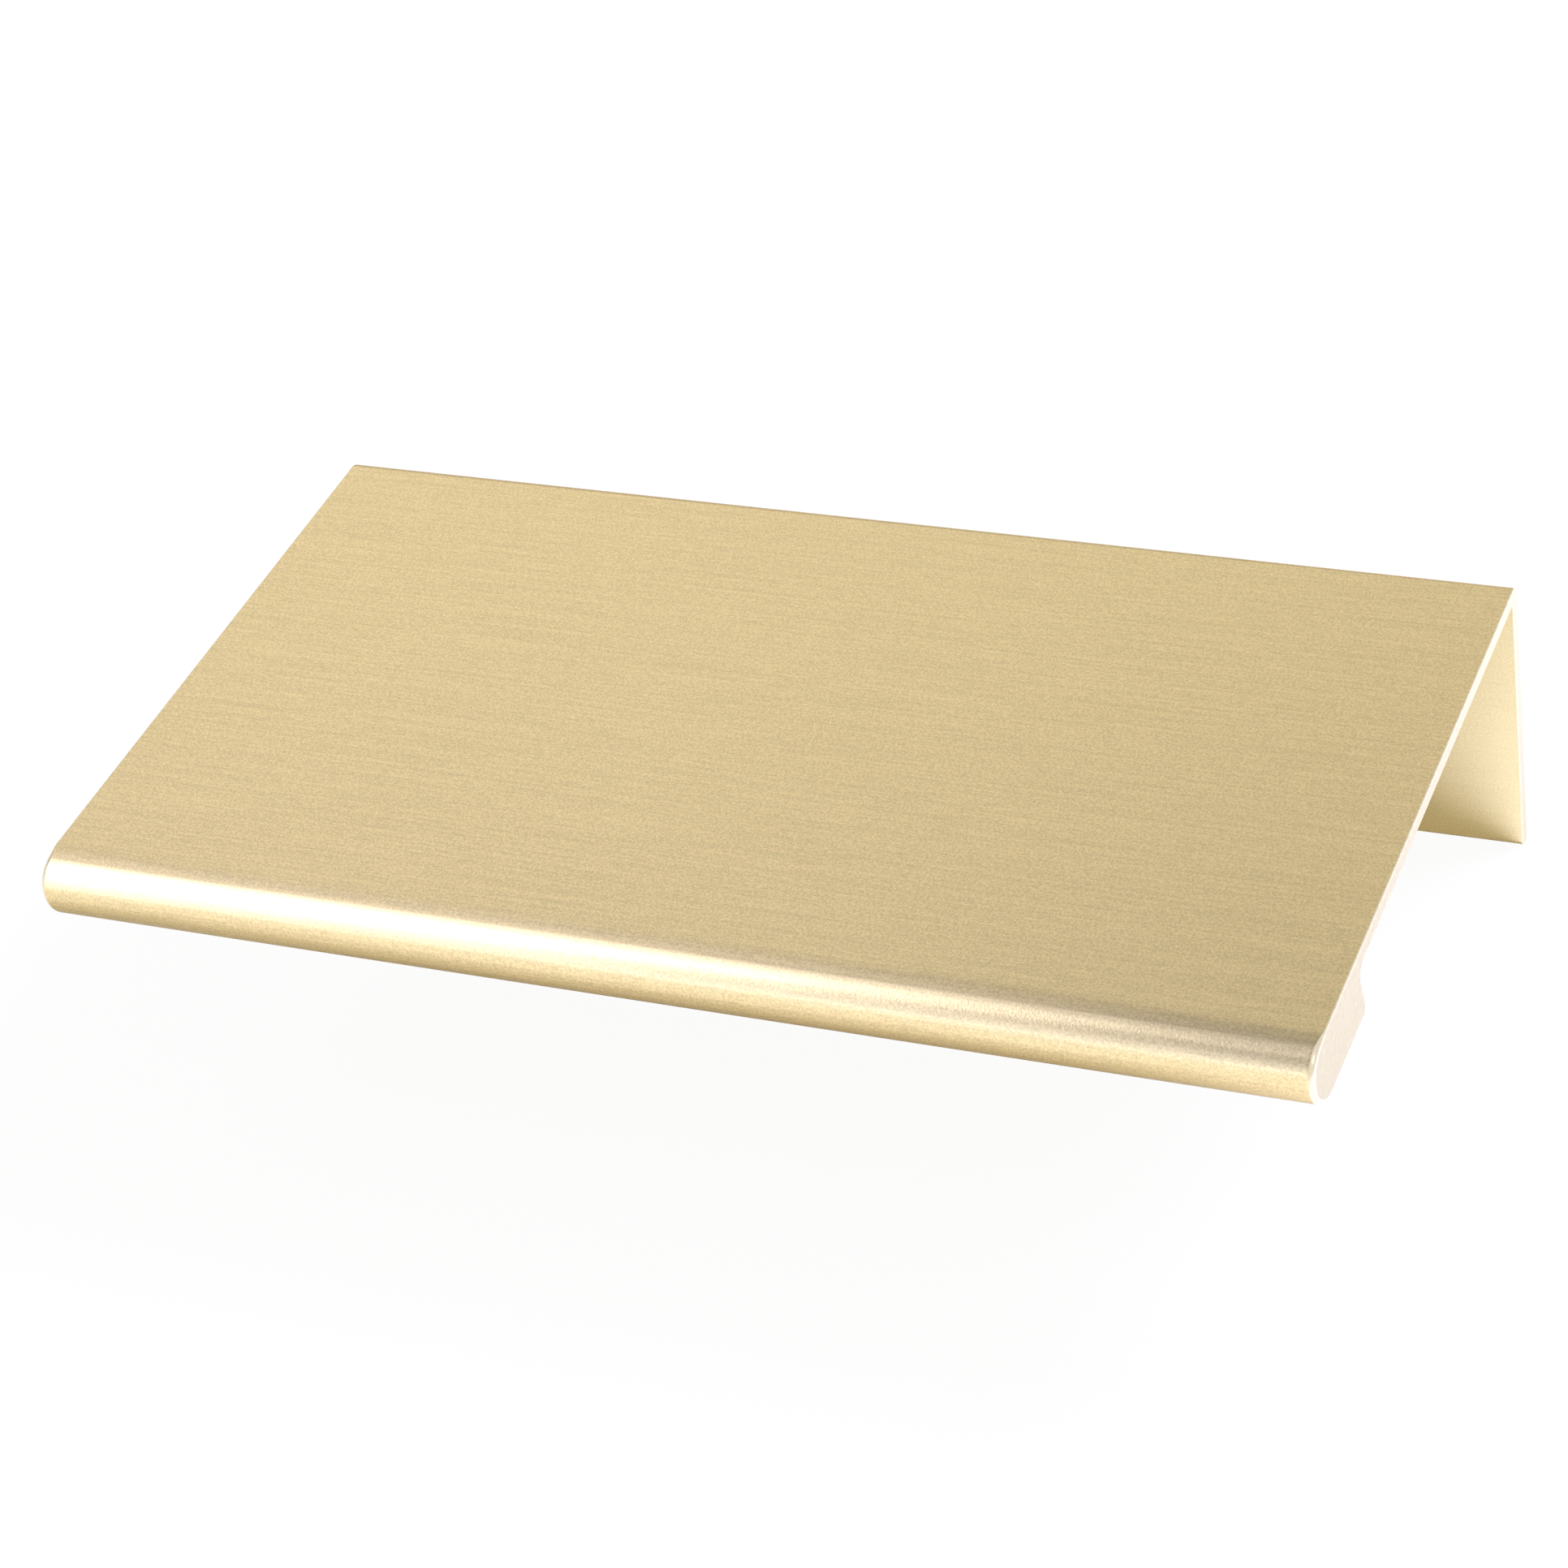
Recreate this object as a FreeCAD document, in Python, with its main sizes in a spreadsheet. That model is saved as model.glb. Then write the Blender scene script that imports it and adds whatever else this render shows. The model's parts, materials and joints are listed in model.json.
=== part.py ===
import FreeCAD, Part
import math
import os

import Sketcher

# Tab pull for the upper edge of a drawer front or a cabinet door.
# It is one brushed extrusion, cut square: a thin plate that lies on the edge of the leaf, a flange behind
# the leaf that takes the screws, and a thick rounded lip in front with a hollow back for the fingertips.
# The origin is midway between the two screw holes, on the face of the flange that seats on the leaf.
# X runs along the pull, Y points to the back of the leaf and Z points up.

NODE = "tab_pull"

# Driving sizes, in millimetres and degrees: alias, value, what it measures
DRIVING_SIZES = (
    ("length", 80.0, "from end to end"),
    ("depth", 45.5, "from the front of the lip to the back of the flange"),
    ("drop", 20.0, "from the top of the plate to the foot of the flange"),
    ("plate_thickness", 1.0, "wall of the plate"),
    ("flange_thickness", 1.0, "wall of the flange"),
    ("lip_height", 4.6, "from the top of the plate to the underside of the lip"),
    ("lip_depth", 10.0, "from the front of the lip to its heel"),
    ("nose_radius", 1.75, "upper round of the lip; the lower round takes up the rest of its height"),
    ("nose_ease_radius", 9.0, "gentle round that leads from the plate into the upper round"),
    ("nose_ease_angle", 8.0, "turn of that gentle round"),
    ("heel_radius", 0.45, "round on the lower back corner of the lip"),
    ("cove_radius", 0.8, "hollow between the back of the lip and the plate"),
    ("lip_back_lean", 14.5, "undercut of the back of the lip, from upright"),
    ("outer_corner_radius", 1.0, "round where the plate turns down into the flange"),
    ("inner_corner_radius", 0.3, "fillet between the plate and the seating face"),
    ("foot_radius", 0.4, "rounds on the free edge of the flange"),
    ("end_edge_radius", 0.18, "broken edge all round each cut end"),
    ("screw_end_margin", 8.0, "from each end to the centre of the nearer screw hole"),
    ("screw_hole_diameter", 3.8, "clear hole at the seating face"),
    ("countersink_angle", 90.0, "full angle of the countersink on the back of the flange"),
    ("countersink_land", 0.2, "straight wall that the countersink leaves at the seating face"),
)

# the most that a round may take of the wall, or of the smaller round, that it lies on
ROUND_SHARE = 0.45

# formulas that hold for any set of sizes, as the sheet reads them
SCREW_DROP = "(Sizes.drop - Sizes.plate_thickness) / 2"
SCREW_SPACING = "Sizes.length - 2 * Sizes.screw_end_margin"
FOOT_ROUND = f"min(Sizes.foot_radius; {ROUND_SHARE} * Sizes.flange_thickness)"
END_ROUND = f"min(Sizes.end_edge_radius; {ROUND_SHARE} * {FOOT_ROUND}; {ROUND_SHARE} * Sizes.heel_radius)"
COUNTERSINK_DIAMETER = (
    "Sizes.screw_hole_diameter"
    " + 2 * (Sizes.flange_thickness - Sizes.countersink_land) * tan(Sizes.countersink_angle * 0.5 deg)"
)

# how a sketch numbers the points of its lines and arcs, and its own two axes, which start at its origin
START, END, CENTRE = range(1, 4)
LEVEL_AXIS, UPRIGHT_AXIS = range(-1, -3, -1)
ORIGIN = (LEVEL_AXIS, START)

EDGE_TOLERANCE = 1e-6


def fill_sheet(doc):
    """Write the driving sizes to the spreadsheet, one row each, and return them by alias."""
    sheet = doc.addObject("Spreadsheet::Sheet", "Sizes")
    for row, (alias, value, meaning) in enumerate(DRIVING_SIZES, start=1):
        sheet.set(f"A{row}", alias)
        sheet.set(f"B{row}", str(value))
        sheet.set(f"C{row}", meaning)
        sheet.setAlias(f"B{row}", alias)
    doc.recompute()
    return {alias: float(sheet.get(alias)) for alias, _, _ in DRIVING_SIZES}


def new_sketch(body, name, role):
    """An empty sketch on one of the body's own origin planes."""
    plane = next(feature for feature in body.Origin.OriginFeatures if feature.Role == role)
    sketch = body.newObject("Sketcher::SketchObject", name)
    sketch.AttachmentSupport = [(plane, "")]
    sketch.MapMode = "FlatFace"
    return sketch


def bind(sketch, name, constraint, formula):
    """Add a named dimension to a sketch and tie it to the sheet."""
    index = sketch.addConstraint(constraint)
    sketch.renameConstraint(index, name)
    sketch.setExpression(f"Constraints.{name}", formula)


def section_outline(size):
    """The section's lines and arcs, going round from the back of the flange: x is depth, y is height."""
    under = (size["drop"] - size["plate_thickness"]) / 2
    top = under + size["plate_thickness"]
    foot = top - size["drop"]
    back = size["flange_thickness"]
    front = back - size["depth"]
    lip_under = top - size["lip_height"]
    upper_nose, ease = size["nose_radius"], size["nose_ease_radius"]
    ease_turn = math.radians(size["nose_ease_angle"])
    nose_y = top - ease + (ease - upper_nose) * math.cos(ease_turn)
    ease_x = front + upper_nose + (ease - upper_nose) * math.sin(ease_turn)
    lower_nose = nose_y - lip_under
    heel, cove = size["heel_radius"], size["cove_radius"]
    outer, inner = size["outer_corner_radius"], size["inner_corner_radius"]
    toe = min(size["foot_radius"], ROUND_SHARE * size["flange_thickness"])

    # the back of the lip leans, so its two rounds are set by their distance from the leaning line
    lean = math.radians(size["lip_back_lean"])
    out_x, out_y = math.cos(lean), math.sin(lean)
    heel_corner = front + size["lip_depth"]
    heel_x = heel_corner - heel * (1 + out_y) / out_x
    heel_y = lip_under + heel
    cove_y = under - cove
    cove_x = heel_corner + (cove - (cove_y - lip_under) * out_y) / out_x

    def line(x0, y0, x1, y1):
        return Part.LineSegment(FreeCAD.Vector(x0, y0), FreeCAD.Vector(x1, y1))

    def arc(x, y, radius, start_deg, end_deg):
        circle = Part.Circle(FreeCAD.Vector(x, y), FreeCAD.Vector(0, 0, 1), radius)
        return Part.ArcOfCircle(circle, math.radians(start_deg), math.radians(end_deg))

    return {
        "back_face": line(back, foot + toe, back, top - outer),
        "outer_corner": arc(back - outer, top - outer, outer, 0, 90),
        "plate_top": line(back - outer, top, ease_x, top),
        "nose_ease": arc(ease_x, top - ease, ease, 90, 90 + size["nose_ease_angle"]),
        "upper_nose": arc(front + upper_nose, nose_y, upper_nose, 90 + size["nose_ease_angle"], 180),
        "lower_nose": arc(front + lower_nose, nose_y, lower_nose, 180, 270),
        "lip_under": line(front + lower_nose, lip_under, heel_x, lip_under),
        "heel": arc(heel_x, heel_y, heel, -90, size["lip_back_lean"]),
        "lip_back": line(
            heel_x + heel * out_x, heel_y + heel * out_y, cove_x - cove * out_x, cove_y - cove * out_y
        ),
        "cove": arc(cove_x, cove_y, cove, 90, 180 + size["lip_back_lean"]),
        "plate_under": line(cove_x, under, -inner, under),
        "inner_corner": arc(-inner, under - inner, inner, 0, 90),
        "seat_face": line(0, under - inner, 0, foot + toe),
        "foot_front": arc(toe, foot + toe, toe, 180, 270),
        "foot": line(toe, foot, back - toe, foot),
        "foot_back": arc(back - toe, foot + toe, toe, 270, 360),
    }, Part.Point(FreeCAD.Vector(heel_corner, lip_under))


def draw_section(sketch, size):
    """Draw the extrusion's section and hold every size of it to the sheet."""
    outline, sharp_heel = section_outline(size)
    at = {name: sketch.addGeometry(shape) for name, shape in outline.items()}
    heel_corner = sketch.addGeometry(sharp_heel, True)

    # hollow rounds turn against the outline, so they are entered at their end and left at their start
    hollows = ("cove", "inner_corner")
    ring = list(outline)
    for name, following in zip(ring, ring[1:] + ring[:1]):
        leave = START if name in hollows else END
        enter = END if following in hollows else START
        sketch.addConstraint(Sketcher.Constraint("Tangent", at[name], leave, at[following], enter))

    for name in ("plate_top", "lip_under", "plate_under", "foot"):
        sketch.addConstraint(Sketcher.Constraint("Horizontal", at[name]))
    for name in ("back_face", "seat_face"):
        sketch.addConstraint(Sketcher.Constraint("Vertical", at[name]))
    level_centres = Sketcher.Constraint("Horizontal", at["upper_nose"], CENTRE, at["lower_nose"], CENTRE)
    sketch.addConstraint(level_centres)
    sketch.addConstraint(Sketcher.Constraint("PointOnObject", at["seat_face"], START, UPRIGHT_AXIS))
    sketch.addConstraint(Sketcher.Constraint("Equal", at["foot_front"], at["foot_back"]))
    for name in ("lip_under", "lip_back"):
        sketch.addConstraint(Sketcher.Constraint("PointOnObject", heel_corner, START, at[name]))

    rounds = {
        "nose_radius": ("upper_nose", "Sizes.nose_radius"),
        "nose_ease_radius": ("nose_ease", "Sizes.nose_ease_radius"),
        "heel_radius": ("heel", "Sizes.heel_radius"),
        "cove_radius": ("cove", "Sizes.cove_radius"),
        "outer_corner_radius": ("outer_corner", "Sizes.outer_corner_radius"),
        "inner_corner_radius": ("inner_corner", "Sizes.inner_corner_radius"),
        "foot_radius": ("foot_back", FOOT_ROUND),
    }
    for dimension, (name, formula) in rounds.items():
        bind(sketch, dimension, Sketcher.Constraint("Radius", at[name], outline[name].Radius), formula)

    heights = {
        "screw_drop": (ORIGIN, (at["plate_under"], START), SCREW_DROP),
        "plate_thickness": ((at["plate_under"], START), (at["plate_top"], START), "Sizes.plate_thickness"),
        "lip_height": ((at["lip_under"], START), (at["plate_top"], START), "Sizes.lip_height"),
        "drop": ((at["foot"], START), (at["plate_top"], START), "Sizes.drop"),
    }
    for dimension, (low, high, formula) in heights.items():
        rise = sketch.getPoint(*high).y - sketch.getPoint(*low).y
        bind(sketch, dimension, Sketcher.Constraint("DistanceY", *low, *high, rise), formula)

    depths = {
        "flange_thickness": (ORIGIN, (at["back_face"], START), "Sizes.flange_thickness"),
        "depth": ((at["lower_nose"], START), (at["back_face"], START), "Sizes.depth"),
        "lip_depth": ((at["lower_nose"], START), (heel_corner, START), "Sizes.lip_depth"),
    }
    for dimension, (near, far, formula) in depths.items():
        run = sketch.getPoint(*far).x - sketch.getPoint(*near).x
        bind(sketch, dimension, Sketcher.Constraint("DistanceX", *near, *far, run), formula)

    lean = Sketcher.Constraint("Angle", at["lip_back"], math.radians(90 + size["lip_back_lean"]))
    bind(sketch, "lip_back_lean", lean, "90 deg + Sizes.lip_back_lean * 1 deg")
    ease_turn = Sketcher.Constraint("Angle", at["nose_ease"], math.radians(size["nose_ease_angle"]))
    bind(sketch, "nose_ease_angle", ease_turn, "Sizes.nose_ease_angle * 1 deg")


def draw_screw_holes(sketch, size):
    """Two circles on the level of the origin, the same distance to each side of it."""
    half_spacing = size["length"] / 2 - size["screw_end_margin"]
    radius = size["screw_hole_diameter"] / 2
    left, right = [
        sketch.addGeometry(Part.Circle(FreeCAD.Vector(x, 0), FreeCAD.Vector(0, 0, 1), radius))
        for x in (-half_spacing, half_spacing)
    ]
    sketch.addConstraint(Sketcher.Constraint("Symmetric", left, CENTRE, right, CENTRE, *ORIGIN))
    sketch.addConstraint(Sketcher.Constraint("Horizontal", left, CENTRE, right, CENTRE))
    sketch.addConstraint(Sketcher.Constraint("Equal", left, right))
    spacing = Sketcher.Constraint("DistanceX", left, CENTRE, right, CENTRE, 2 * half_spacing)
    diameter = Sketcher.Constraint("Diameter", left, 2 * radius)
    bind(sketch, "screw_spacing", spacing, SCREW_SPACING)
    bind(sketch, "screw_hole_diameter", diameter, "Sizes.screw_hole_diameter")


def end_edges(shape, length):
    """Names of the edges that run round the two cut ends."""
    names = []
    for number, edge in enumerate(shape.Edges, start=1):
        if all(abs(abs(corner.X) - length / 2) < EDGE_TOLERANCE for corner in edge.Vertexes):
            names.append(f"Edge{number}")
    return names


def make_tab_pull(doc, size):
    body = doc.addObject("PartDesign::Body", "TabPull")
    body.Label = NODE

    section = new_sketch(body, "Section", "YZ_Plane")
    draw_section(section, size)
    doc.recompute()

    extrusion = body.newObject("PartDesign::Pad", "Extrusion")
    extrusion.Profile = section
    extrusion.SideType = "Symmetric"
    extrusion.setExpression("Length", "Sizes.length")
    doc.recompute()

    broken_edges = body.newObject("PartDesign::Fillet", "BrokenEdges")
    broken_edges.Base = (extrusion, end_edges(extrusion.Shape, size["length"]))
    broken_edges.setExpression("Radius", END_ROUND)
    doc.recompute()

    # the screws go in from behind, so the holes are drilled forwards from the back of the flange
    hole_centres = new_sketch(body, "HoleCentres", "XZ_Plane")
    hole_centres.setExpression("AttachmentOffset.Base.z", "-Sizes.flange_thickness")
    draw_screw_holes(hole_centres, size)
    doc.recompute()
    holes = body.newObject("PartDesign::Hole", "ScrewHoles")
    holes.Profile = hole_centres
    holes.Reversed = True
    holes.DepthType = "Dimension"
    holes.DrillPoint = "Flat"
    holes.HoleCutType = "Countersink"
    holes.setExpression("Depth", "Sizes.flange_thickness")
    holes.setExpression("Diameter", "Sizes.screw_hole_diameter")
    holes.setExpression("HoleCutDiameter", COUNTERSINK_DIAMETER)
    holes.setExpression("HoleCutCountersinkAngle", "Sizes.countersink_angle * 1 deg")
    doc.recompute()
    if holes.Shape.Volume >= broken_edges.Shape.Volume:
        raise RuntimeError("the screw holes cut nothing")
    return body


def check(doc, body):
    """Stop before anything is written if a feature failed or the pull is not one whole solid."""
    failed = [item.Label for item in doc.Objects if {"Invalid", "Error"} & set(item.State)]
    if failed:
        raise RuntimeError(f"features that failed: {failed}")
    if body.Shape.isNull() or not body.Shape.isValid() or len(body.Shape.Solids) != 1:
        raise RuntimeError(f"{body.Label} is not one valid solid")


def main():
    doc = FreeCAD.newDocument("TabPullDocument")
    size = fill_sheet(doc)
    tab_pull = make_tab_pull(doc, size)
    doc.recompute()
    check(doc, tab_pull)
    os.makedirs("parts", exist_ok=True)
    tab_pull.Shape.exportStep(f"parts/{tab_pull.Label}.step")
    print(f"{tab_pull.Label}: {tab_pull.Shape.Volume:.1f} cubic mm")


main()
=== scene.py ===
import json
import math

import bpy
from mathutils import Matrix, Vector
from mathutils.kdtree import KDTree


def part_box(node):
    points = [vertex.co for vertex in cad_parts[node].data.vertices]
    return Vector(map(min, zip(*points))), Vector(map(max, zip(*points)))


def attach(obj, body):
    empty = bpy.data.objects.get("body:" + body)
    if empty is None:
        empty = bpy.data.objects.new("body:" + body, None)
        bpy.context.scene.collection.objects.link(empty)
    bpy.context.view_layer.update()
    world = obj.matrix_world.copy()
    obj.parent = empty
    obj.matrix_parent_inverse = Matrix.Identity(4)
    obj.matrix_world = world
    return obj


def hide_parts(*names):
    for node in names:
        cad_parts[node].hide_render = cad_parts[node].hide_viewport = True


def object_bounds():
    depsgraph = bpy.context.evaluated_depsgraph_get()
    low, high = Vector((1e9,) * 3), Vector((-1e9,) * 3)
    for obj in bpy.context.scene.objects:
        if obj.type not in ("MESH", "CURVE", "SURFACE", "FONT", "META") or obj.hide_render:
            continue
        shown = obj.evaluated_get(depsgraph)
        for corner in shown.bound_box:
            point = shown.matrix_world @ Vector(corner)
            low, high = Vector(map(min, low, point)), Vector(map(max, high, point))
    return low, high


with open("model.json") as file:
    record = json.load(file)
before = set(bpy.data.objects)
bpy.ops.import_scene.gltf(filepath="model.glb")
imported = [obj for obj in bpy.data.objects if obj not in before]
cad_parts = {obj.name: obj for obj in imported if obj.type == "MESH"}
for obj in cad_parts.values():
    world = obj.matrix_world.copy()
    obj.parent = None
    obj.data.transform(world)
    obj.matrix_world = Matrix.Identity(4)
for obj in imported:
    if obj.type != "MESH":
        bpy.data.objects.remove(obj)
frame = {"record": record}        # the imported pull, in metres
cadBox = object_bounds()
mm = 0.001

# the pull: sizes in millimetres that its box and its mounts don't give
pullShape = {
    "plateWall": 1.0,
    "flangeWall": 1.0,
    "lipHeight": 4.6,          # plate top to lip underside
    "lipDepth": 10.0,          # nose to heel corner
    "noseRound": 1.75,         # upper part of the nose, the lower part takes the rest of the lip's height
    "easeRound": 9.0,          # gentle start of the nose
    "easeTurn": 8.0,           # degrees of that start
    "heelRound": 0.45,
    "coveRound": 0.8,
    "lipLean": 14.5,           # degrees, back of the lip
    "outerRound": 1.0,
    "innerRound": 0.3,
    "footRound": 0.4,
    "endRound": 0.1,           # broken edge round the cut ends
    "noseEndRound": 0.45,      # the same edge where the nose is rubbed rounder
    "noseEndBegins": 3.3,      # from the front, where that rounder edge begins
    "noseEndFull": 0.8,        # and where it is full
    "sinkLand": 0.2,           # straight wall of a hole in front of its countersink
    "rimBreak": 0.06,          # broken edge of the holes
    "degreesPerStep": 3.0,     # fineness of the rounds
    "fewestSteps": 4,          # on the shortest of them
    "endSteps": 6,
    "holeSteps": 72,
    "rimSteps": 2,
    "smoothBelow": 40.0,       # degrees, sharper edges keep their line
    "levelWithin": 0.01,       # points this near a face's level lie on it
    "mergeWithin": 0.001,      # outline points this near are one
}


def deselectAll():
    bpy.ops.object.select_all(action="DESELECT")
    bpy.context.view_layer.objects.active = None


def makeActive(piece):
    deselectAll()
    piece.select_set(True)
    bpy.context.view_layer.objects.active = piece


def applyModifier(piece, kind, **settings):
    makeActive(piece)
    modifier = piece.modifiers.new(kind.lower(), kind)
    for setting, value in settings.items():
        setattr(modifier, setting, value)
    bpy.ops.object.modifier_apply(modifier=modifier.name)


def selectWhere(piece, kind, test):
    # picks edges or faces in edit mode by a test on each
    bpy.ops.mesh.select_all(action="DESELECT")
    bpy.ops.mesh.select_mode(type=kind)
    bpy.ops.object.mode_set(mode="OBJECT")
    elements = {"EDGE": piece.data.edges, "FACE": piece.data.polygons}[kind]
    for element in elements:
        element.select = test(element)
    bpy.ops.object.mode_set(mode="EDIT")


def liesOnLevel(piece, edge, axis, levels):
    # whether both ends of an edge lie on one of the levels along an axis
    ends = [piece.data.vertices[index].co[axis] for index in edge.vertices]
    near = pullShape["levelWithin"] * mm
    return any(all(abs(end - level) < near for end in ends) for level in levels)


def drawRun(move):
    # straight stretch of the outline, in the plane of the section
    bpy.ops.mesh.extrude_vertices_move(TRANSFORM_OT_translate={"value": (0, move[0], move[1])})


def drawRound(centre, degrees):
    # round stretch of the outline about its centre, in the plane of the section
    steps = max(pullShape["fewestSteps"], round(abs(degrees) / pullShape["degreesPerStep"]))
    bpy.ops.mesh.spin(
        steps=steps, angle=math.radians(-degrees), center=(0, centre[0], centre[1]), axis=(1, 0, 0),
        use_auto_merge=False,
    )


def drawSection(low, high):
    # goes round the section from the foot of the flange, as (y, z) from the corners of the box
    size = {name: value * mm for name, value in pullShape.items()}      # read for the lengths alone
    lean = math.radians(pullShape["lipLean"])
    back, top, foot, front = high.y, high.z, low.z, low.y
    seat = back - size["flangeWall"]
    under = top - size["plateWall"]
    lipUnder = top - size["lipHeight"]
    upper, ease = size["noseRound"], size["easeRound"]
    easeTurn = math.radians(pullShape["easeTurn"])
    noseZ = top - ease + (ease - upper) * math.cos(easeTurn)
    easeY = front + upper + (ease - upper) * math.sin(easeTurn)
    lower = noseZ - lipUnder
    heel, cove, toe = size["heelRound"], size["coveRound"], size["footRound"]
    outer, inner = size["outerRound"], size["innerRound"]
    heelCorner = front + size["lipDepth"]
    heelCentre = Vector((heelCorner - heel * (1 + math.sin(lean)) / math.cos(lean), lipUnder + heel))
    coveZ = under - cove
    coveY = heelCorner + (cove - (coveZ - lipUnder) * math.sin(lean)) / math.cos(lean)
    coveCentre = Vector((coveY, coveZ))
    leanOut = Vector((math.cos(lean), math.sin(lean)))

    start = Vector((back, foot + toe))
    stretches = [
        ("run", Vector((back, top - outer))),
        ("round", Vector((back - outer, top - outer)), 90),
        ("run", Vector((easeY, top))),
        ("round", Vector((easeY, top - ease)), pullShape["easeTurn"]),
        ("round", Vector((front + upper, noseZ)), 90 - pullShape["easeTurn"]),
        ("round", Vector((front + lower, noseZ)), 90),
        ("run", Vector((heelCentre.x, lipUnder))),
        ("round", heelCentre, 90 + pullShape["lipLean"]),
        ("run", coveCentre - cove * leanOut),
        ("round", coveCentre, -(90 + pullShape["lipLean"])),
        ("run", Vector((seat - inner, under))),
        ("round", Vector((seat - inner, under - inner)), -90),
        ("run", Vector((seat, foot + toe))),
        ("round", Vector((seat + toe, foot + toe)), 90),
        ("run", Vector((back - toe, foot))),
        ("round", Vector((back - toe, foot + toe)), 90),
    ]
    bpy.ops.mesh.merge(type="CENTER")
    bpy.ops.transform.translate(value=(low.x, start.x, start.y))
    at = start.copy()
    for kind, point, *turn in stretches:
        if kind == "run":
            drawRun(point - at)
            at = point.copy()
        else:
            drawRound(point, turn[0])
            at = point + Matrix.Rotation(math.radians(turn[0]), 2) @ (at - point)


def breakEnds(pull, low, high):
    # rounds the edge of both cut ends
    outline = KDTree(len(pull.data.vertices))      # the section's points while its ends are sharp
    for vertex in pull.data.vertices:
        outline.insert((0, vertex.co.y, vertex.co.z), vertex.index)
    outline.balance()
    makeActive(pull)
    bpy.ops.object.mode_set(mode="EDIT")
    selectWhere(pull, "EDGE", lambda edge: liesOnLevel(pull, edge, 0, (low.x, high.x)))
    bpy.ops.mesh.bevel(
        offset=pullShape["endRound"] * mm, segments=pullShape["endSteps"], affect="EDGES",
        clamp_overlap=False,
    )
    bpy.ops.object.mode_set(mode="OBJECT")

    # on the nose the round grows, along the pull and in from the outline
    begin, full = low.y + pullShape["noseEndBegins"] * mm, low.y + pullShape["noseEndFull"] * mm
    most = pullShape["noseEndRound"] / pullShape["endRound"] - 1
    for vertex in pull.data.vertices:
        level = high.x if vertex.co.x > 0 else low.x
        base = outline.find((0, vertex.co.y, vertex.co.z))[0]
        share = min(max((begin - base.y) / (begin - full), 0), 1)
        grown = 1 + most * share * share * (3 - 2 * share)
        inset = vertex.co - Vector((level, base.y, base.z))
        vertex.co = Vector((level, base.y, base.z)) + inset * grown


def cutScrewHole(pull, hole, seat, back):
    # straight drill with a countersink on the back, cut out of the flange
    reach = 0.5 * mm      # past both faces
    radius = hole["radius"]
    land = pullShape["sinkLand"] * mm
    sink = back - seat - land + reach
    deselectAll()
    bpy.ops.mesh.primitive_cylinder_add(
        vertices=pullShape["holeSteps"], radius=radius, depth=reach + land,
        location=(hole["x"], seat + (land - reach) / 2, hole["z"]), rotation=(math.radians(-90), 0, 0),
    )
    drill = bpy.context.object
    bpy.ops.object.transform_apply(location=True, rotation=True, scale=True)
    bpy.ops.object.mode_set(mode="EDIT")
    selectWhere(drill, "FACE", lambda face: face.normal.y > 0.9)
    bpy.ops.mesh.extrude_region_move(TRANSFORM_OT_translate={"value": (0, sink, 0)})
    bpy.ops.transform.resize(
        value=((radius + sink) / radius, 1, (radius + sink) / radius),
        center_override=(hole["x"], back + reach, hole["z"]),
    )
    bpy.ops.mesh.select_all(action="SELECT")
    bpy.ops.mesh.normals_make_consistent(inside=False)
    bpy.ops.object.mode_set(mode="OBJECT")
    applyModifier(pull, "BOOLEAN", operation="DIFFERENCE", solver="EXACT", object=drill)
    bpy.data.objects.remove(drill)


def breakHoleRims(pull, holes, seat, back):
    # takes the sharp edge off both rims of each hole
    def onRim(edge):
        ends = [pull.data.vertices[index].co for index in edge.vertices]
        near = any(
            all(math.hypot(end.x - hole["x"], end.z - hole["z"]) < 2 * hole["radius"] for end in ends)
            for hole in holes
        )
        return near and liesOnLevel(pull, edge, 1, (seat, back))

    makeActive(pull)
    bpy.ops.object.mode_set(mode="EDIT")
    selectWhere(pull, "EDGE", onRim)
    bpy.ops.mesh.bevel(
        offset=pullShape["rimBreak"] * mm, segments=pullShape["rimSteps"], affect="EDGES",
        clamp_overlap=False,
    )
    bpy.ops.object.mode_set(mode="OBJECT")


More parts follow.
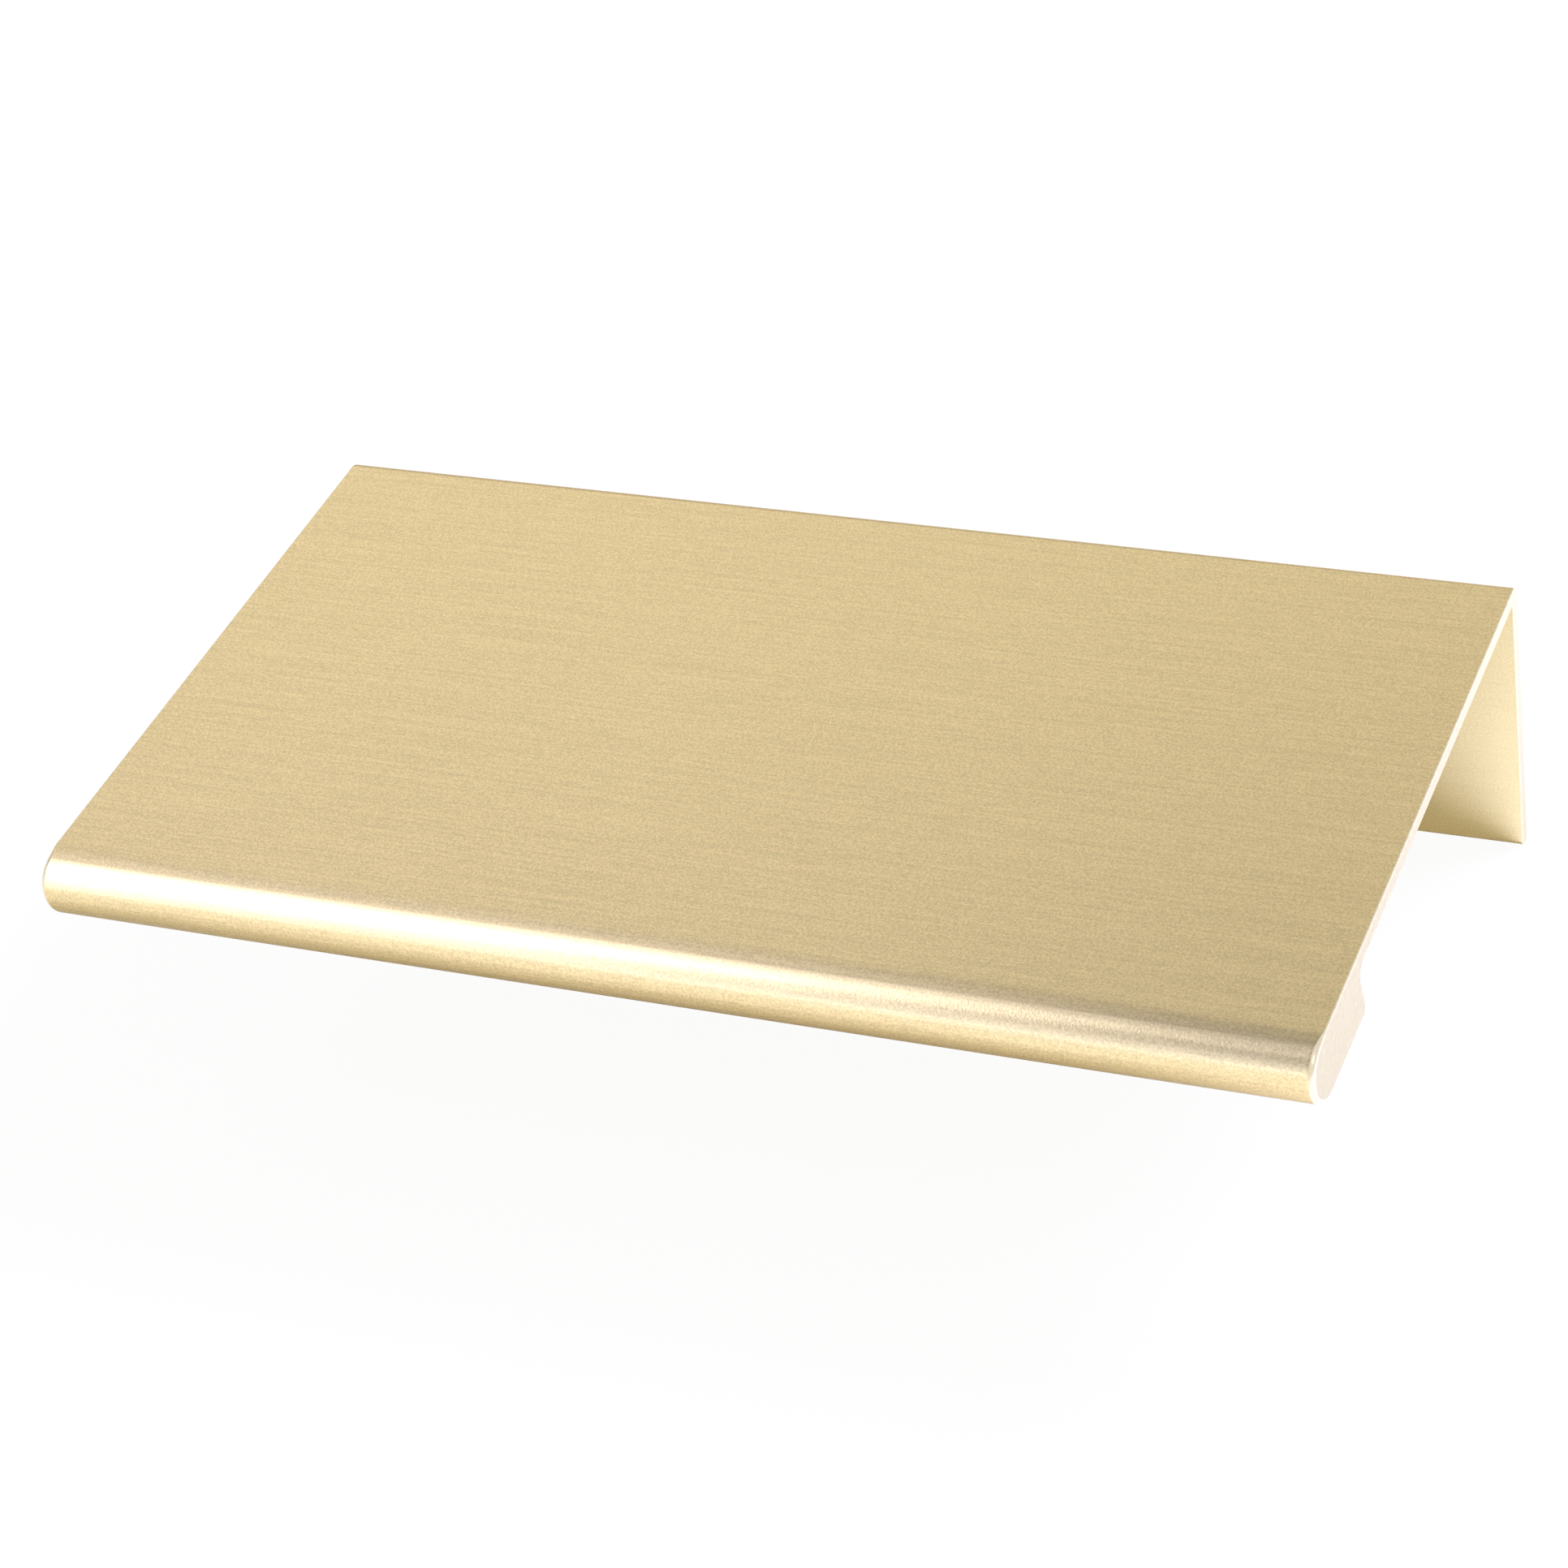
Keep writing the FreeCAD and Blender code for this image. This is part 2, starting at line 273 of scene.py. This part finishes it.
def modelPull():
    low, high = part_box("tab_pull")
    length = high.x - low.x
    back = high.y
    seat = back - pullShape["flangeWall"] * mm

    deselectAll()
    bpy.ops.mesh.primitive_plane_add(size=length, location=(0, 0, 0))
    pull = bpy.context.object
    pull.name = "brushedTabPull"
    pull.data.name = "brushedTabPull"
    bpy.ops.object.mode_set(mode="EDIT")
    drawSection(low, high)
    bpy.ops.mesh.select_all(action="SELECT")
    bpy.ops.mesh.remove_doubles(threshold=pullShape["mergeWithin"] * mm)
    bpy.ops.mesh.edge_face_add()
    bpy.ops.mesh.extrude_region_move(TRANSFORM_OT_translate={"value": (length, 0, 0)})
    bpy.ops.mesh.select_all(action="SELECT")
    bpy.ops.mesh.normals_make_consistent(inside=False)
    bpy.ops.object.mode_set(mode="OBJECT")
    breakEnds(pull, low, high)
    print("pull: section drawn and extended,", len(pull.data.polygons), "faces")

    # the record gives the screw holes
    mount = next(each for each in frame["record"]["mounts"] if each["kind"] == "bolt_pattern")
    middle, dims = mount["pos_m"], mount["dims"]
    spread = dims["spacing_x_mm"] * mm / 2
    holes = [
        {"x": middle[0] + side * spread, "z": middle[2], "radius": dims["hole_r_mm"] * mm}
        for side in (-1, 1)
    ]
    for hole in holes:
        cutScrewHole(pull, hole, seat, back)
    breakHoleRims(pull, holes, seat, back)
    makeActive(pull)
    bpy.ops.object.shade_smooth_by_angle(angle=math.radians(pullShape["smoothBelow"]))
    applyModifier(pull, "WEIGHTED_NORMAL", mode="FACE_AREA", weight=100, keep_sharp=True)
    print("pull: holes cut,", len(pull.data.polygons), "faces")
    return pull


pull = modelPull()


# brushed gold: colours are linear, scales are in features per metre
goldFinish = {
    "deepGold": (0.72, 0.563, 0.288),
    "paleGold": (0.99, 0.78, 0.402),
    "edgeTint": (0.55, 0.5, 0.42),     # at a grazing angle
    "roughness": 0.285,
    "roughnessSwing": 0.01,
    "anisotropy": 0.71,
    "coat": 0.3,
    "coatRoughness": 0.2,
    "longStreaks": (70, 4200, 4200),
    "shortStreaks": (420, 6500, 6500),
    "speckle": (7500, 7500, 7500),
    "shares": (0.21, 0.14, 0.65),      # long streaks, short streaks and speckle in the grain
    "contrast": 3.2,
    "bump": 0.0000016,
}

# bare metal of the cut ends, not brushed; its paler, less golden colour is partly painted light, standing
# in for the bright floor these ends reflect
sawnEndAndPaintedLight = {
    "shade": (0.61, 0.53, 0.37),
    "light": (0.73, 0.64, 0.447),
    "roughness": 0.42,
    "roughnessSwing": 0.05,
    "mottle": (2600, 2600, 2600),
    "sawMarks": (3000, 700, 7000),
    "shares": (0.6, 0.4),              # mottle and saw marks
    "contrast": 2.2,
    "bump": 0.000002,
    "facing": 0.985,                   # share of the normal along the pull that makes a face an end
}

# edges of the cut ends, rubbed; their pale colour is partly a painted highlight, so that the thin edge
# line reads white
rubbedEdgeAndPaintedHighlight = {
    "shade": (0.76, 0.67, 0.50),
    "light": (0.92, 0.82, 0.64),
    "roughness": 0.26,
    "roughnessSwing": 0.04,
    "mottle": (3000, 3000, 3000),
    "rubs": (900, 6000, 6000),
    "shares": (0.6, 0.4),              # mottle and rubs
    "contrast": 2.0,
    "bump": 0.000001,
    "facing": 0.3,                     # share of the normal along the pull where the edge begins
}

# faces towards the drawer front, satin where the brush reaches less; their paler colour is painted light,
# standing in for light on the floor under the plate
insideSatinAndPaintedLight = {
    "shade": (0.785, 0.66, 0.372),
    "light": (0.96, 0.81, 0.46),
    "roughness": 0.3,
    "roughnessSwing": 0.02,
    "speckle": (7000, 7000, 7000),
    "streaks": (90, 3000, 3000),
    "shares": (0.82, 0.18),            # speckle and streaks
    "contrast": 2.0,
    "bump": 0.0000012,
    "facing": 0.3,                     # share of the normal to the front or down on such a face
}


def newNode(tree, kind, place, **settings):
    node = tree.nodes.new(kind)
    node.location = place
    for setting, value in settings.items():
        setattr(node, setting, value)
    return node


def newMaterial(name):
    material = bpy.data.materials.new(name)
    material.use_nodes = True
    tree = material.node_tree
    tree.nodes.clear()
    output = newNode(tree, "ShaderNodeOutputMaterial", (1100, 0))
    return material, tree, output


def stretchedNoise(tree, coordinates, scale, place):
    # noise with a size of its own along each axis
    mapping = newNode(tree, "ShaderNodeMapping", place)
    mapping.inputs["Scale"].default_value = scale
    noise = newNode(tree, "ShaderNodeTexNoise", (place[0] + 200, place[1]))
    noise.inputs["Scale"].default_value = 1.0
    noise.inputs["Detail"].default_value = 1.0
    tree.links.new(coordinates, mapping.inputs["Vector"])
    tree.links.new(mapping.outputs["Vector"], noise.inputs["Vector"])
    return noise.outputs["Fac"]


def mixedGrain(tree, scales, shares, contrast):
    # several noises added up by their shares, spread about a half
    place = newNode(tree, "ShaderNodeTexCoord", (-1100, 0)).outputs["Object"]
    layers = []
    total = None
    for row, (scale, share) in enumerate(zip(scales, shares)):
        layer = stretchedNoise(tree, place, scale, (-900, 300 - 300 * row))
        layers.append(layer)
        beside = (-400 + 160 * row, 300 - 300 * row)
        added = newNode(tree, "ShaderNodeMath", beside, operation="MULTIPLY_ADD")
        added.inputs[1].default_value = share
        added.inputs[2].default_value = 0.0
        tree.links.new(layer, added.inputs[0])
        if total:
            tree.links.new(total, added.inputs[2])
        total = added.outputs[0]
    spread = newNode(tree, "ShaderNodeMapRange", (150, 200))
    spread.inputs["From Min"].default_value = 0.5 - 0.5 / contrast
    spread.inputs["From Max"].default_value = 0.5 + 0.5 / contrast
    tree.links.new(total, spread.inputs["Value"])
    return layers, spread.outputs["Result"]


def finishMetal(tree, output, grain, streaks, look, dark, light):
    # metal whose colour, gloss and height follow the grain
    links = tree.links
    shader = newNode(tree, "ShaderNodeBsdfPrincipled", (800, 0))
    shader.inputs["Metallic"].default_value = 1.0
    links.new(shader.outputs["BSDF"], output.inputs["Surface"])
    colour = newNode(tree, "ShaderNodeMix", (450, 200), data_type="RGBA")
    colour.inputs["A"].default_value = (*dark, 1)
    colour.inputs["B"].default_value = (*light, 1)
    links.new(grain, colour.inputs["Factor"])
    links.new(colour.outputs["Result"], shader.inputs["Base Color"])
    rough = newNode(tree, "ShaderNodeMapRange", (450, -50))
    rough.inputs["To Min"].default_value = look["roughness"] - look["roughnessSwing"]
    rough.inputs["To Max"].default_value = look["roughness"] + look["roughnessSwing"]
    links.new(streaks, rough.inputs["Value"])
    links.new(rough.outputs["Result"], shader.inputs["Roughness"])
    bump = newNode(tree, "ShaderNodeBump", (450, -300))
    bump.inputs["Distance"].default_value = look["bump"]
    links.new(grain, bump.inputs["Height"])
    links.new(bump.outputs["Normal"], shader.inputs["Normal"])
    return shader


def brushedGold():
    look = goldFinish
    material, tree, output = newMaterial("brushedGold")
    scales = (look["longStreaks"], look["shortStreaks"], look["speckle"])
    layers, grain = mixedGrain(tree, scales, look["shares"], look["contrast"])
    shader = finishMetal(tree, output, grain, layers[0], look, look["deepGold"], look["paleGold"])
    shader.inputs["Anisotropic"].default_value = look["anisotropy"]
    shader.inputs["Specular Tint"].default_value = (*look["edgeTint"], 1)
    shader.inputs["Coat Weight"].default_value = look["coat"]
    shader.inputs["Coat Roughness"].default_value = look["coatRoughness"]
    # the brushing runs along the pull, so the gloss spreads round its section
    tangent = newNode(tree, "ShaderNodeTangent", (450, -500), direction_type="RADIAL", axis="X")
    tree.links.new(tangent.outputs["Tangent"], shader.inputs["Tangent"])
    return material


# the cut ends: unbrushed metal, paler partly as painted light
def sawnGoldAndPaintedLight():
    look = sawnEndAndPaintedLight
    material, tree, output = newMaterial("sawnGoldAndPaintedLight")
    scales = (look["mottle"], look["sawMarks"])
    layers, grain = mixedGrain(tree, scales, look["shares"], look["contrast"])
    finishMetal(tree, output, grain, layers[0], look, look["shade"], look["light"])
    return material


# the faces behind the lip: satin grain, and a paler colour that is painted light
def satinGoldAndPaintedLight():
    look = insideSatinAndPaintedLight
    material, tree, output = newMaterial("satinGoldAndPaintedLight")
    scales = (look["speckle"], look["streaks"])
    layers, grain = mixedGrain(tree, scales, look["shares"], look["contrast"])
    finishMetal(tree, output, grain, layers[1], look, look["shade"], look["light"])
    return material


# the edges of the cut ends: rubbed metal, paler partly as a painted highlight
def rubbedGoldAndPaintedHighlight():
    look = rubbedEdgeAndPaintedHighlight
    material, tree, output = newMaterial("rubbedGoldAndPaintedHighlight")
    scales = (look["mottle"], look["rubs"])
    layers, grain = mixedGrain(tree, scales, look["shares"], look["contrast"])
    finishMetal(tree, output, grain, layers[1], look, look["shade"], look["light"])
    return material


def onInside(face):
    # seat of the flange and underside of the plate, behind the lip, where the paler satin colour paints
    # light
    behindLip = face.center.y > cadBox[0].y + pullShape["lipDepth"] * mm
    underPlate = face.center.z > cadBox[1].z - 2 * pullShape["plateWall"] * mm
    toFront = face.normal.y < -insideSatinAndPaintedLight["facing"]
    down = face.normal.z < -insideSatinAndPaintedLight["facing"]
    return behindLip and (toFront or (underPlate and down))


def atCutEnd(face, facing):
    # the cut ends, and with less of the normal along the pull their edges too
    near = abs(face.center.x) > cadBox[1].x - pullShape["noseEndRound"] * mm
    return near and abs(face.normal.x) > facing


def finishPull():
    # brushed all over first, then each other finish on the faces that pass its test
    for material in (brushedGold(), satinGoldAndPaintedLight(), rubbedGoldAndPaintedHighlight(), sawnGoldAndPaintedLight()):
        pull.data.materials.append(material)
    makeActive(pull)
    bpy.ops.object.mode_set(mode="EDIT")
    tests = [
        onInside,
        lambda face: atCutEnd(face, rubbedEdgeAndPaintedHighlight["facing"]),
        lambda face: atCutEnd(face, sawnEndAndPaintedLight["facing"]),
    ]
    for slot, test in enumerate(tests, 1):
        selectWhere(pull, "FACE", test)
        pull.active_material_index = slot
        bpy.ops.object.material_slot_assign()
    bpy.ops.object.mode_set(mode="OBJECT")


finishPull()
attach(pull, "root")
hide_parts("tab_pull")
print("pull: finished in brushed gold")


# white floor at the foot of the flange
floorLook = {
    "size": 6.0,
    "white": (0.75, 0.75, 0.75),
    "glow": 1.0,
    "seenGlow": 0.94,         # share of the glow that the camera sees, the rest keeps the shadow
    "mirroredGlow": 0.05,     # and that shows in the metal
}


def whiteFloor():
    material, tree, output = newMaterial("whiteFloor")
    links = tree.links
    matt = newNode(tree, "ShaderNodeBsdfDiffuse", (300, 100))
    matt.inputs["Color"].default_value = (*floorLook["white"], 1)
    glow = newNode(tree, "ShaderNodeEmission", (300, -100))
    glow.inputs["Strength"].default_value = floorLook["glow"]
    path = newNode(tree, "ShaderNodeLightPath", (-500, 300))
    rays = [
        ("Is Camera Ray", "seenGlow"),
        ("Is Glossy Ray", "mirroredGlow"),
        ("Is Transmission Ray", "mirroredGlow"),
    ]
    total = None
    for step, (ray, glowShare) in enumerate(rays):
        share = newNode(tree, "ShaderNodeMath", (-250 + 180 * step, 300), operation="MULTIPLY_ADD")
        share.inputs[1].default_value = floorLook[glowShare]
        share.inputs[2].default_value = 0.0
        links.new(path.outputs[ray], share.inputs[0])
        if total:
            links.new(total, share.inputs[2])
        total = share.outputs[0]
    mix = newNode(tree, "ShaderNodeMixShader", (600, 0))
    links.new(total, mix.inputs["Fac"])
    links.new(matt.outputs["BSDF"], mix.inputs[1])
    links.new(glow.outputs["Emission"], mix.inputs[2])
    links.new(mix.outputs["Shader"], output.inputs["Surface"])
    return material


def layFloor():
    deselectAll()
    bpy.ops.mesh.primitive_plane_add(size=floorLook["size"], location=(0, 0, cadBox[0].z))
    floor = bpy.context.object
    floor.name = "floor"
    floor.data.materials.append(whiteFloor())


layFloor()
print("floor laid")


# studio: strengths by the sweep in degrees, from level at the back over the top to level at the front
roomLook = {
    "rearWall": {
        "colour": (1.0, 0.99, 0.95),
        "stops": [(0, 0.55), (20, 0.53), (28, 0.92), (34.5, 1.6), (39.5, 1.16), (44, 0.22), (48, 0.05),
                  (58, 0.0)],
    },
    "overhead": {
        "colour": (0.96, 1.04, 1.44),
        "stops": [(47, 0.0), (54, 0.02), (62, 0.17), (72, 0.32), (85, 0.47), (100, 0.52), (118, 0.22),
                  (132, 0.26), (145, 0.5), (155, 0.92), (165, 1.05), (173, 1.5), (180, 2.8)],
    },
    "strip": {
        "colour": (0.98, 1.0, 1.29),
        "stops": [(46, 0.0), (53, 0.26), (60, 0.66), (68, 1.75), (78, 1.4), (88, 1.7), (98, 3.0),
                  (108, 4.2), (118, 4.0), (130, 3.1), (142, 2.3), (154, 1.35), (164, 0.35), (174, 0.0)],
    },
    # places along the pull are the X of a direction, from -1 on the left to 1 on the right
    "stripEnds": ((-0.67, -0.47), (-0.14, -0.34)),    # each end of the strip fades in from first to second
    "stripSlant": 0.2,                                # its ends lean to the left towards the front
    "leftToRight": ((-0.48, 1.08), (-0.24, 1.02)),    # share of the room's light at two places
    "plainFrom": ((-0.72, -0.95), (-0.12, 0.3)),      # where the room turns plain, on either side
    "plain": 0.92,
    "onFloor": (1.03, 0.985, 0.78),                   # tint of the room's light on the floor
}

# soft panels: distances and sizes in metres, each aimed from the pull
studioPanels = {
    "topPanel": {
        "aim": (0.50, 0.46, 0.73), "distance": 0.30, "size": (0.16, 0.16), "radiance": 17.2,
        "colour": (0.94, 1.0, 1.38), "onFloor": True, "inMetal": False,
    },
    "rimCard": {
        "aim": (0.77, -0.24, 0.56), "distance": 0.8, "size": (0.3, 0.3), "radiance": 1.0,
        "colour": (1.0, 1.0, 1.0), "onFloor": False, "inMetal": True,
    },
}


def hangPanel(name, panel):
    # a soft panel that faces the pull
    aim = Vector(panel["aim"]).normalized()
    light = bpy.data.lights.new(name, "AREA")
    light.shape = "RECTANGLE"
    light.size, light.size_y = panel["size"]
    light.energy = panel["radiance"] * math.pi * light.size * light.size_y
    light.color = panel["colour"]
    lamp = bpy.data.objects.new(name, light)
    bpy.context.scene.collection.objects.link(lamp)
    facing = aim.to_track_quat("Z", "Y").to_matrix().to_4x4()
    lamp.matrix_world = Matrix.Translation(aim * panel["distance"]) @ facing
    lamp.visible_camera = False
    lamp.visible_diffuse = panel["onFloor"]
    lamp.visible_glossy = panel["inMetal"]


def lightRamp(tree, sweep, look, place):
    # light by the sweep from 0 to 180 degrees
    stops = look["stops"]
    strongest = max(strength for degrees, strength in stops) * max(look["colour"])
    ramp = newNode(tree, "ShaderNodeValToRGB", place)
    elements = ramp.color_ramp.elements
    while len(elements) < len(stops):
        elements.new(0.5)
    for element, (degrees, strength) in zip(elements, stops):
        element.position = degrees / 180
        element.color = [channel * strength / strongest for channel in look["colour"]] + [1]
    tree.links.new(sweep, ramp.inputs["Fac"])
    light = newNode(tree, "ShaderNodeVectorMath", (place[0] + 300, place[1]), operation="SCALE")
    light.inputs["Scale"].default_value = strongest
    tree.links.new(ramp.outputs["Color"], light.inputs[0])
    return light.outputs[0]


def fadeIn(tree, value, clear, full, place):
    # 0 at the first value, 1 at the second
    fade = newNode(tree, "ShaderNodeMapRange", place, interpolation_type="SMOOTHSTEP")
    fade.inputs["From Min"].default_value = clear
    fade.inputs["From Max"].default_value = full
    tree.links.new(value, fade.inputs["Value"])
    return fade.outputs["Result"]


def sweepAndPlace(tree):
    # the sweep of a direction, from 0 to 1, and its place along the pull
    links = tree.links
    way = newNode(tree, "ShaderNodeTexCoord", (-1100, 0)).outputs["Generated"]
    parts = newNode(tree, "ShaderNodeSeparateXYZ", (-900, 0))
    links.new(way, parts.inputs["Vector"])
    angle = newNode(tree, "ShaderNodeMath", (-700, 0), operation="ARCTAN2")
    links.new(parts.outputs["Z"], angle.inputs[0])
    links.new(parts.outputs["Y"], angle.inputs[1])
    sweep = newNode(tree, "ShaderNodeMath", (-500, 0), operation="DIVIDE")
    sweep.inputs[1].default_value = math.pi
    links.new(angle.outputs[0], sweep.inputs[0])
    return sweep.outputs[0], parts.outputs["X"]


def wallAndOverhead(tree, sweep, along):
    # both run along the pull, and turn plain far to the left and on the right
    links = tree.links
    rearWall = lightRamp(tree, sweep, roomLook["rearWall"], (-300, 300))
    overhead = lightRamp(tree, sweep, roomLook["overhead"], (-300, 100))
    room = newNode(tree, "ShaderNodeVectorMath", (0, 300), operation="ADD")
    links.new(rearWall, room.inputs[0])
    links.new(overhead, room.inputs[1])
    left, right = roomLook["leftToRight"]
    side = newNode(tree, "ShaderNodeMapRange", (-300, 600))
    side.inputs["From Min"].default_value, side.inputs["To Min"].default_value = left
    side.inputs["From Max"].default_value, side.inputs["To Max"].default_value = right
    links.new(along, side.inputs["Value"])
    sided = newNode(tree, "ShaderNodeVectorMath", (150, 300), operation="SCALE")
    links.new(room.outputs[0], sided.inputs[0])
    links.new(side.outputs["Result"], sided.inputs["Scale"])
    plain = newNode(tree, "ShaderNodeMath", (0, 600), operation="MAXIMUM")
    for step, (begin, full) in enumerate(roomLook["plainFrom"]):
        fade = fadeIn(tree, along, begin, full, (-300, 1200 - 300 * step))
        links.new(fade, plain.inputs[step])
    ended = newNode(tree, "ShaderNodeMix", (300, 400), data_type="RGBA")
    ended.inputs["B"].default_value = (roomLook["plain"],) * 3 + (1,)
    links.new(plain.outputs[0], ended.inputs["Factor"])
    links.new(sided.outputs[0], ended.inputs["A"])
    return ended.outputs["Result"]


def leftStrip(tree, sweep, along):
    # a bright strip, on the left alone
    links = tree.links
    strip = lightRamp(tree, sweep, roomLook["strip"], (-300, -100))
    slanted = newNode(tree, "ShaderNodeMath", (-500, -400), operation="MULTIPLY_ADD")
    slanted.inputs[1].default_value = roomLook["stripSlant"]
    links.new(sweep, slanted.inputs[0])
    links.new(along, slanted.inputs[2])
    for step, (clear, full) in enumerate(roomLook["stripEnds"]):
        fade = fadeIn(tree, slanted.outputs[0], clear, full, (-300, -400 - 300 * step))
        faded = newNode(tree, "ShaderNodeVectorMath", (300 + 200 * step, -100), operation="SCALE")
        links.new(strip, faded.inputs[0])
        links.new(fade, faded.inputs["Scale"])
        strip = faded.outputs[0]
    return strip


def paleRoom():
    world = bpy.data.worlds.new("paleRoom")
    bpy.context.scene.world = world
    world.use_nodes = True
    tree = world.node_tree
    tree.nodes.clear()
    links = tree.links
    sweep, along = sweepAndPlace(tree)
    room = newNode(tree, "ShaderNodeVectorMath", (700, 200), operation="ADD")
    links.new(wallAndOverhead(tree, sweep, along), room.inputs[0])
    links.new(leftStrip(tree, sweep, along), room.inputs[1])

    # its light on the floor is tinted
    path = newNode(tree, "ShaderNodeLightPath", (500, 600))
    tint = newNode(tree, "ShaderNodeMix", (700, 500), data_type="RGBA")
    tint.inputs["A"].default_value = (1, 1, 1, 1)
    tint.inputs["B"].default_value = (*roomLook["onFloor"], 1)
    links.new(path.outputs["Is Diffuse Ray"], tint.inputs["Factor"])
    tinted = newNode(tree, "ShaderNodeVectorMath", (900, 300), operation="MULTIPLY")
    links.new(room.outputs[0], tinted.inputs[0])
    links.new(tint.outputs["Result"], tinted.inputs[1])

    # the camera sees it white
    seen = newNode(tree, "ShaderNodeMix", (900, 0), data_type="RGBA")
    seen.inputs["B"].default_value = (1, 1, 1, 1)
    links.new(path.outputs["Is Camera Ray"], seen.inputs["Factor"])
    links.new(tinted.outputs[0], seen.inputs["A"])
    background = newNode(tree, "ShaderNodeBackground", (1100, 0))
    links.new(seen.outputs["Result"], background.inputs["Color"])
    output = newNode(tree, "ShaderNodeOutputWorld", (1300, 0))
    links.new(background.outputs["Background"], output.inputs["Surface"])


for name, panel in studioPanels.items():
    hangPanel(name, panel)
paleRoom()
print("studio lit")


# camera at the photograph's viewing angle, fitted to the pull's own edges
photoCamera = {
    "place": (97.63, -212.51, 166.42),         # millimetres
    "turn": (52.804, 7.6855, 21.396),          # degrees about X, Y and Z
    "lens": 99.99,
    "sensor": 36.0,
    "nearest": 10.0,                           # what is closer isn't drawn
}


def setCamera():
    camera = bpy.data.cameras.new("photoCamera")
    camera.lens = photoCamera["lens"]
    camera.sensor_width = photoCamera["sensor"]
    camera.clip_start = photoCamera["nearest"] * mm
    holder = bpy.data.objects.new("photoCamera", camera)
    bpy.context.scene.collection.objects.link(holder)
    holder.location = Vector(photoCamera["place"]) * mm
    holder.rotation_euler = [math.radians(angle) for angle in photoCamera["turn"]]
    bpy.context.scene.camera = holder


setCamera()
bpy.context.scene.view_settings.view_transform = "Standard"
print("camera set")
